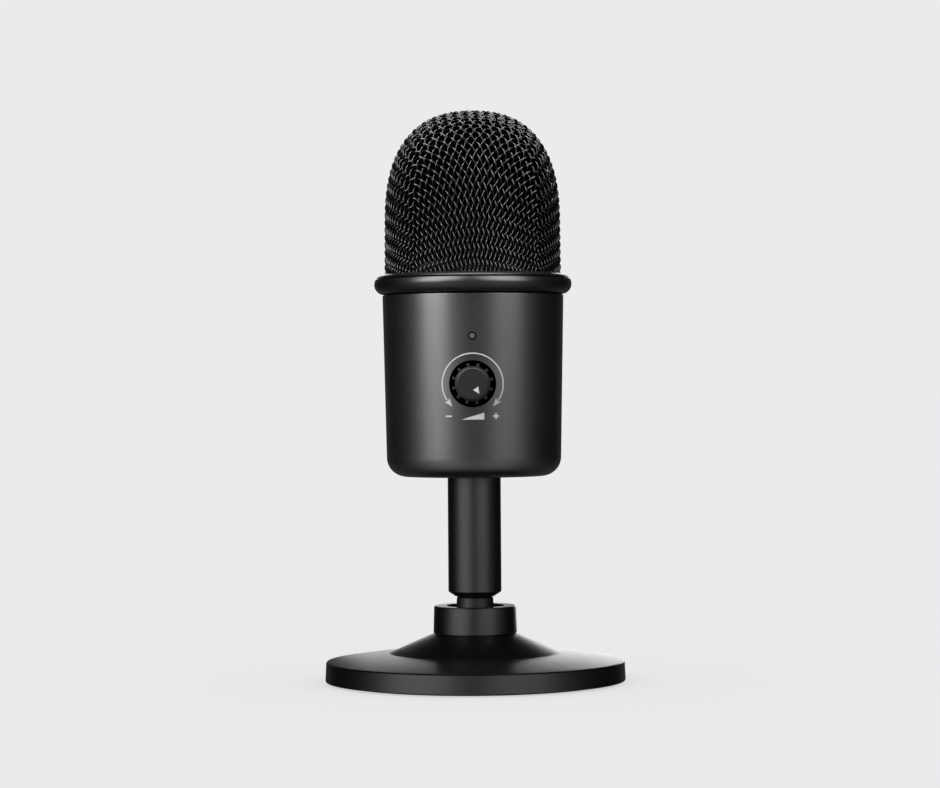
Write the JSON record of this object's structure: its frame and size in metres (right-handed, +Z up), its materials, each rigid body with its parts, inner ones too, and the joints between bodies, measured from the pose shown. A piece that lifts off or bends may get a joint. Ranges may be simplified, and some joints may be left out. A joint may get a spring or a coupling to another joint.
{
  "type": "desktop microphone",
  "caption": "Free-standing desktop microphone: woven dome grille over foam, round body with a gain knob, stem on a ball joint and a weighted round base.",
  "frame": {"origin": "on the desk under the middle of the base, at the underside of the foot pad", "axes": "+Z up along the stem, -Y out of the front where the knob is, +X to the right as seen from the front"},
  "size_m": [0.1, 0.1, 0.1903],
  "materials": {
    "body_paint": "satin",
    "base_paint": "satin",
    "trim_paint": "satin",
    "grille_wire": "satin",
    "black_steel": "satin",
    "knob_plastic": "satin",
    "lens_plastic": "gloss",
    "foam": "matte",
    "rubber": "matte",
    "nylon": "satin",
    "black_plastic": "matte",
    "steel": "satin",
    "brass": "satin",
    "bare_aluminium": "satin",
    "cast_iron": "matte",
    "board_green": "satin",
    "cable_grey": "satin"
  },
  "bodies": {
    "base": {"base_shell": "base_paint", "base_weight": "cast_iron", "base_plate": "black_plastic", "foot_pad": "rubber", "base_screw_1": "steel", "base_screw_2": "steel", "base_screw_3": "steel", "collar": "base_paint", "seat_spring": "steel"},
    "seat_cup": {"ball_seat": "nylon"},
    "ball": {"ball_stud": "black_steel"},
    "microphone": {"audio_chip": "black_plastic", "board_link": "cable_grey", "board_screw_1": "steel", "board_screw_2": "steel", "board_screw_3": "steel", "board_screw_4": "steel", "body_shell": "body_paint", "capsule": "bare_aluminium", "capsule_lead": "rubber", "capsule_mount": "rubber", "capsule_post": "black_plastic", "control_board": "board_green", "deck_plate": "black_plastic", "deck_screw_1": "steel", "deck_screw_2": "steel", "deck_screw_3": "steel", "filter_capacitor": "bare_aluminium", "foam_liner": "foam", "grille": "grille_wire", "grille_band": "black_steel", "lead_connector": "nylon", "led_lens": "lens_plastic", "post_screw_1": "steel", "post_screw_2": "steel", "pot_body": "black_plastic", "status_led": "nylon", "stem": "body_paint", "stem_insert": "brass", "stem_stud": "steel", "trim_ring": "trim_paint", "usb_board": "board_green", "usb_screw_1": "steel", "usb_screw_2": "steel", "usb_socket": "steel", "usb_tongue": "black_plastic"},
    "knob": {"gain_knob": "knob_plastic", "pot_shaft": "bare_aluminium"}
  },
  "joints": [
    {"name": "pan", "type": "hinge", "parent": "base", "child": "seat_cup", "pos_m": [0, 0, 0.0169], "axis": [0, 0, 1], "continuous": true},
    {"name": "tilt", "type": "hinge", "parent": "seat_cup", "child": "ball", "pos_m": [0, 0, 0.0169], "axis": [1, 0, 0], "range_deg": [-18, 18]},
    {"name": "spin", "type": "hinge", "parent": "ball", "child": "microphone", "pos_m": [0, 0, 0.0169], "axis": [0, 0, 1], "continuous": true},
    {"name": "gain_turn", "type": "hinge", "parent": "microphone", "child": "knob", "pos_m": [0, -0.0286, 0.0993], "axis": [0, 1, 0], "range_deg": [-295, 5]}
  ]
}
